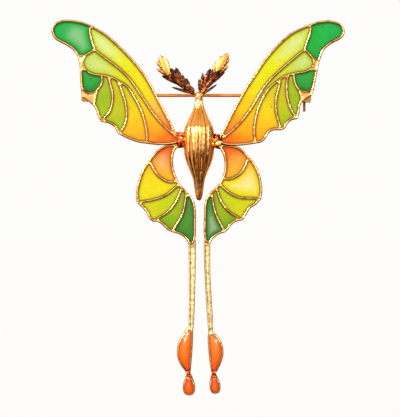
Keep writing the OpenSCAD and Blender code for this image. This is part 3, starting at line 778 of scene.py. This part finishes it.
def barb(root, tip, width, flat_y, thick):
    """A leaf-like barb with a keel and faint ribs: its points, and how far each is from the keel
    and from the root."""
    along = (tip - root).normalized()
    across = along.cross(Vector((0, 1, 0))).normalized()
    length = (tip - root).length
    points, edge, reach = [], [], []
    for i in range(BARB_ROWS):
        t = i / (BARB_ROWS - 1)
        leaf = min(1.0, (t + 0.10) * 2.6) ** 0.7 * max(0.0, 1 - t ** 3.2) ** 0.55
        half = max(0.03, width / 2 * leaf)
        notch = 1 - 0.10 * (math.sin(t * length * 7) > 0.2) * (t > 0.25)
        for j in range(BARB_SIDES):
            turn = 2 * math.pi * j / BARB_SIDES
            side, lift = math.cos(turn), math.sin(turn)
            keel = abs(lift) ** 1.4 * (1 if lift >= 0 else -1)
            rib = 1 - 0.12 * math.cos(t * length * 9 + abs(side) * 3)
            spot = root + along * (t * length) + across * (half * notch * side)
            points.append((spot.x, flat_y - keel * thick / 2 * rib * (0.35 + 0.65 * leaf), spot.z))
            edge.append(abs(side))
            reach.append(t)
    return points, edge, reach


def feather_material():
    """Brown enamel brushed over copper barbs, black at the edges and ends."""
    p = Painter("antenna_brown")
    copper = p.ramp(p.noise(0.7, 3), [(0.36, (58, 20, 6)), (0.5, (116, 54, 16)), (0.64, (186, 102, 38))])
    edges = p.fit(p.value("edge"), 0.35, 0.85, 0, 0.95)
    ends = p.fit(p.value("reach"), 0.5, 0.85, 0, 0.9)
    roots = p.fit(p.value("reach"), 0.0, 0.14, 0.9, 0)
    colour = p.mix(edges, copper, linear(34, 12, 8))
    colour = p.mix(ends, colour, linear(30, 12, 10))
    colour = p.mix(roots, colour, linear(216, 134, 66))
    p.bump(p.noise(0.25, 2), 0.3, 0.05)
    p.set(Base_Color=colour, Roughness=p.fit(p.noise(0.4, 2), 0.3, 0.7, 0.18, 0.36))
    p.set(Metallic=0.5, Specular_IOR_Level=0.15, Coat_Weight=0.08, Coat_Roughness=0.08)
    return p.material


def antenna_pieces(side, barbs, materials):
    """The brown barbs and the gold ones of an antenna, each as one piece."""
    node = f"{side}_antenna"
    low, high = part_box(node)
    neck = low.x if side == "right" else high.x
    wide, tall = (high.x - low.x) * SIDES[side], high.z - low.z
    middle, thick = (low.y + high.y) / 2 / MM, (high.y - low.y) / MM

    def place(share):
        return Vector(((neck + wide * share[0]) / MM, 0, (low.z + tall * share[1]) / MM))

    for tone, rows in barbs.items():
        points, faces, edge, reach = [], [], [], []
        for root, tip, width, forward in rows:
            flat_y = middle + thick * (0.05 - 0.28 * forward)
            made = barb(place(root), place(tip), width, flat_y, thick * 0.5)
            faces += [tuple(v + len(points) for v in face) for face in tube_faces(BARB_ROWS, BARB_SIDES)]
            points += made[0]
            edge += made[1]
            reach += made[2]
        piece = new_piece(f"{node}_{tone}", points, faces, materials[tone])
        add_values(piece.data, "edge", edge)
        add_values(piece.data, "reach", reach)
        # Painted shade: the gold barbs darken towards their sides by this depth.
        add_values(piece.data, "depth", [(1 - e) * 0.5 + 0.05 for e in edge])
        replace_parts(piece, node)


# ---------------------------------------------------------------- solder lugs

# Painted reflections on the solder: red and brown from the enamel and the room, with pale highlights.
SOLDER_PAINTED_REFLECTIONS = {
    "left": [(0.34, (110, 34, 14)), (0.44, (214, 84, 34)), (0.6, (240, 116, 60)), (0.72, (252, 206, 160))],
    "right": [(0.38, (80, 36, 16)), (0.46, (190, 96, 44)), (0.54, (244, 190, 110)), (0.7, (254, 222, 160))],
}


def solder_material(side):
    """Solder that ran and cooled, with painted reflections: red from the enamel, brown shade and pale
    highlights in patches.
    """
    p = Painter(f"solder_{side}")
    painted_reflections = p.ramp(p.noise(1.3, 2), SOLDER_PAINTED_REFLECTIONS[side])
    p.bump(p.noise(0.5, 2), 0.3, 0.06)
    p.set(Base_Color=painted_reflections, Roughness=p.fit(p.noise(0.4, 3), 0.3, 0.7, 0.1, 0.28), Metallic=1.0)
    return p.material


def lug_piece(side):
    """A melted lump of solder where the wings meet the body."""
    node = f"{side}_root_lug"
    low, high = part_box(node)
    front, back = low.y / MM, high.y / MM
    region = Region(face_loops(node)[:1], OUTLINE_STEP)
    rng = np.random.default_rng(17 + SIDES[side])

    def front_of(flat, depth):
        lumps = 0.3 * smooth_noise(flat, 1.3, 9 + SIDES[side]) + 0.05 * smooth_noise(flat, 0.5, 4)
        return front + 0.9 * (1 - bead(depth, 1.1)) + np.abs(lumps)

    def back_of(flat, depth):
        return back - 0.35 * (1 - bead(depth, 0.5))

    extra = region.rings(METAL_RINGS) + region.grid(0.2, 0.3, rng)
    piece = plate_piece(f"{node}_solder", region, extra, front_of, back_of, solder_material(side), {})
    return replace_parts(piece, node)


# ---------------------------------------------------------------- fittings

FITTINGS = ("pin_stem", "hinge_rivet", "hinge_bracket", "catch_base", "catch_collar")
EDGE_SOFTNESS = 0.05 * MM


def dress_fittings():
    """The CAD fittings keep their shapes, with softened edges and their own metal."""
    pin = gold("pin_gold", (240, 184, 116), (224, 150, 86), rough=0.22)
    # Painted shade: the fittings' dark noise patches stand in for the shadow on the catch.
    fitting = gold("fitting_gold", (206, 138, 72), (74, 34, 14), patch_mm=1.1)
    for node in FITTINGS:
        piece = frame["nodes"][node]
        piece.data.materials.clear()
        piece.data.materials.append(pin if slot_of(node) == "pin_gold" else fitting)
        weld = piece.modifiers.new("weld", "WELD")
        weld.merge_threshold = 1e-6
        soft = piece.modifiers.new("soft_edges", "BEVEL")
        soft.width = EDGE_SOFTNESS
        soft.segments = 2
        soft.angle_limit = math.radians(35)
        soft.harden_normals = True


# ---------------------------------------------------------------- studio

LENS = 135.0
SENSOR = 36.0
VIEW_TALL = 85.4016 * MM
VIEW_SHIFT = Vector((0.4, 0, -0.2)) * MM
# Each sun's strength, spread in degrees and direction.
SUNS = {
    "key": (1.8, 16, (0.62, 0.7, -0.36)),
    "fill": (0.5, 7, (-0.62, 0.7, -0.36)),
}
FLOOR_SIZE = 4.0
FLOOR_DROP = 18 * MM
PAPER = (0.985, 0.98, 0.97, 1)
WHITE = (1, 0.98, 0.95)
WARM = (1, 0.74, 0.42)
AMBER = (1, 0.68, 0.32)
DARK = (0.11, 0.048, 0.024)


def camera():
    """A long lens straight in front, which sees VIEW_TALL at the wings."""
    low, high = cad_box
    aim = (low + high) / 2 + VIEW_SHIFT
    lens = bpy.data.cameras.new("camera")
    lens.lens = LENS
    lens.sensor_width = SENSOR
    lens.clip_start = 0.01
    eye = bpy.data.objects.new("camera", lens)
    eye.location = (aim.x, wing_plane() - VIEW_TALL * LENS / SENSOR, aim.z)
    eye.rotation_euler = (math.radians(90), 0, 0)
    bpy.context.scene.collection.objects.link(eye)
    bpy.context.scene.camera = eye


def lights():
    """A broad sun from the upper left and a weaker one from the upper right."""
    for name, (strength, spread, direction) in SUNS.items():
        light = bpy.data.lights.new(name, "SUN")
        light.energy = strength
        light.angle = math.radians(spread)
        lamp = bpy.data.objects.new(name, light)
        lamp.rotation_mode = "QUATERNION"
        lamp.rotation_quaternion = Vector(direction).to_track_quat("-Z", "Y")
        bpy.context.scene.collection.objects.link(lamp)


class WorldPainter(Nodes):
    """Short calls for light painted on directions: x is right, y away from the camera and z up."""

    def __init__(self, tree):
        super().__init__(tree)
        split = self.add("ShaderNodeSeparateXYZ")
        self.feed(split.inputs[0], self.add("ShaderNodeTexCoord").outputs["Generated"])
        self.x, self.y, self.z = split.outputs
        self.sideways = self.maths("ABSOLUTE", self.x)

    def band(self, source, low, high, to_low, to_high):
        node = self.add("ShaderNodeMapRange", interpolation_type="SMOOTHSTEP")
        for socket, value in zip(node.inputs[:5], (source, low, high, to_low, to_high)):
            self.feed(socket, value)
        return node.outputs["Result"]

    def lit(self, colour, level):
        node = self.add("ShaderNodeVectorMath", operation="SCALE")
        self.feed(node.inputs[0], colour)
        self.feed(node.inputs["Scale"], level)
        return node.outputs[0]

    def plus(self, a, b):
        node = self.add("ShaderNodeVectorMath", operation="ADD")
        self.feed(node.inputs[0], a)
        self.feed(node.inputs[1], b)
        return node.outputs[0]


def window(w):
    """A broad white window behind the camera, dimmer in its middle and to the right."""
    ahead = w.band(w.y, -0.95, -0.68, 1, 0)
    above = w.band(w.z, -0.32, 0.04, 0, 1)
    not_high = w.band(w.z, 0.35, 0.6, 1, 0)
    past_camera = w.band(w.y, -0.995, -0.965, 0.5, 1)
    leftwards = w.band(w.x, -0.1, 0.25, 1, 0.6)
    return w.lit(WHITE, w.times(ahead, above, not_high, past_camera, leftwards, 2.2))


def side_walls(w):
    """An amber wall on each side, the left one stronger."""
    beside = w.band(w.sideways, 0.66, 0.8, 0, 0.95)
    not_low = w.band(w.z, -0.75, -0.4, 0, 1)
    leftwards = w.band(w.x, -0.3, 0.5, 1, 0.3)
    return w.lit(AMBER, w.times(beside, not_low, leftwards))


def low_strip(w):
    """A narrow warm light, low in front."""
    middle = w.band(w.sideways, 0.1, 0.2, 1.2, 0)
    bottom = w.band(w.z, -0.8, -0.65, 0, 1)
    top = w.band(w.z, -0.5, -0.35, 1, 0)
    in_front = w.band(w.y, -0.3, 0, 1, 0)
    return w.lit(WARM, w.times(middle, bottom, top, in_front))


def tubes(w):
    """Two bright upright tubes, one on each side of the camera."""
    inner = w.band(w.sideways, 0.5, 0.53, 0, 9)
    outer = w.band(w.sideways, 0.6, 0.63, 1, 0)
    bottom = w.band(w.z, 0.08, 0.16, 0, 1)
    top = w.band(w.z, 0.5, 0.6, 1, 0)
    in_front = w.band(w.y, -0.5, -0.3, 1, 0)
    return w.lit(WHITE, w.times(inner, outer, bottom, top, in_front))


def ceiling(w):
    return w.lit(WARM, w.band(w.z, 0.28, 0.6, 0, 0.8))


def back_wall(w):
    return w.lit(WARM, w.band(w.y, 0.1, 0.6, 0, 0.7))


def surroundings():
    """The camera sees plain paper and matt surfaces a soft white sky. Reflections see a dark room
    with a window, walls, tubes and a ceiling in it."""
    world = bpy.data.worlds.new("studio")
    bpy.context.scene.world = world
    world.use_nodes = True
    w = WorldPainter(world.node_tree)
    room = DARK
    for part in (window, side_walls, low_strip, tubes, ceiling, back_wall):
        room = w.plus(room, part(w))
    sky = w.lit(WHITE, w.band(w.z, -1, 1, 0.5, 0.85))
    path = w.add("ShaderNodeLightPath").outputs
    colour = w.mix(path["Is Diffuse Ray"], PAPER, sky)
    colour = w.mix(path["Is Glossy Ray"], colour, room)
    w.feed(world.node_tree.nodes["Background"].inputs["Color"], colour)


def floor():
    """A plain sheet of paper under the brooch, which reflections don't see."""
    half = FLOOR_SIZE / 2
    z = cad_box[0].z - FLOOR_DROP
    mesh = bpy.data.meshes.new("floor")
    corners = [(-half, -half, z), (half, -half, z), (half, half, z), (-half, half, z)]
    mesh.from_pydata(corners, [], [(0, 1, 2, 3)])
    p = Painter("paper")
    fibres = [(0.3, [0.91, 0.907, 0.902, 1]), (0.7, [0.918, 0.915, 0.91, 1])]
    p.set(Base_Color=p.ramp(p.noise(60, 2), fibres), Roughness=1.0, Specular_IOR_Level=0.0)
    mesh.materials.append(p.material)
    ground = bpy.data.objects.new("floor", mesh)
    bpy.context.scene.collection.objects.link(ground)
    ground.visible_glossy = False


# ---------------------------------------------------------------- build

bpy.context.scene.view_settings.view_transform = "Standard"
camera()
surroundings()
floor()
lights()

for side in SIDES:
    for wing in ("forewing", "hindwing"):
        frame_piece(side, wing)
for kind in PANES:
    material = pane_material(kind)
    for side in SIDES:
        pane_piece(side, kind, material)
body_piece()
# Painted shade: brown along the sides of the gold barbs.
feather_gold = gold("antenna_gold", (248, 186, 96), (230, 146, 66), painted_shade_mm=0.16)
feather = {"brown": feather_material(), "gold": feather_gold}
antenna_pieces("left", LEFT_BARBS, feather)
antenna_pieces("right", RIGHT_BARBS, feather)
for side in SIDES:
    lug_piece(side)
dress_fittings()
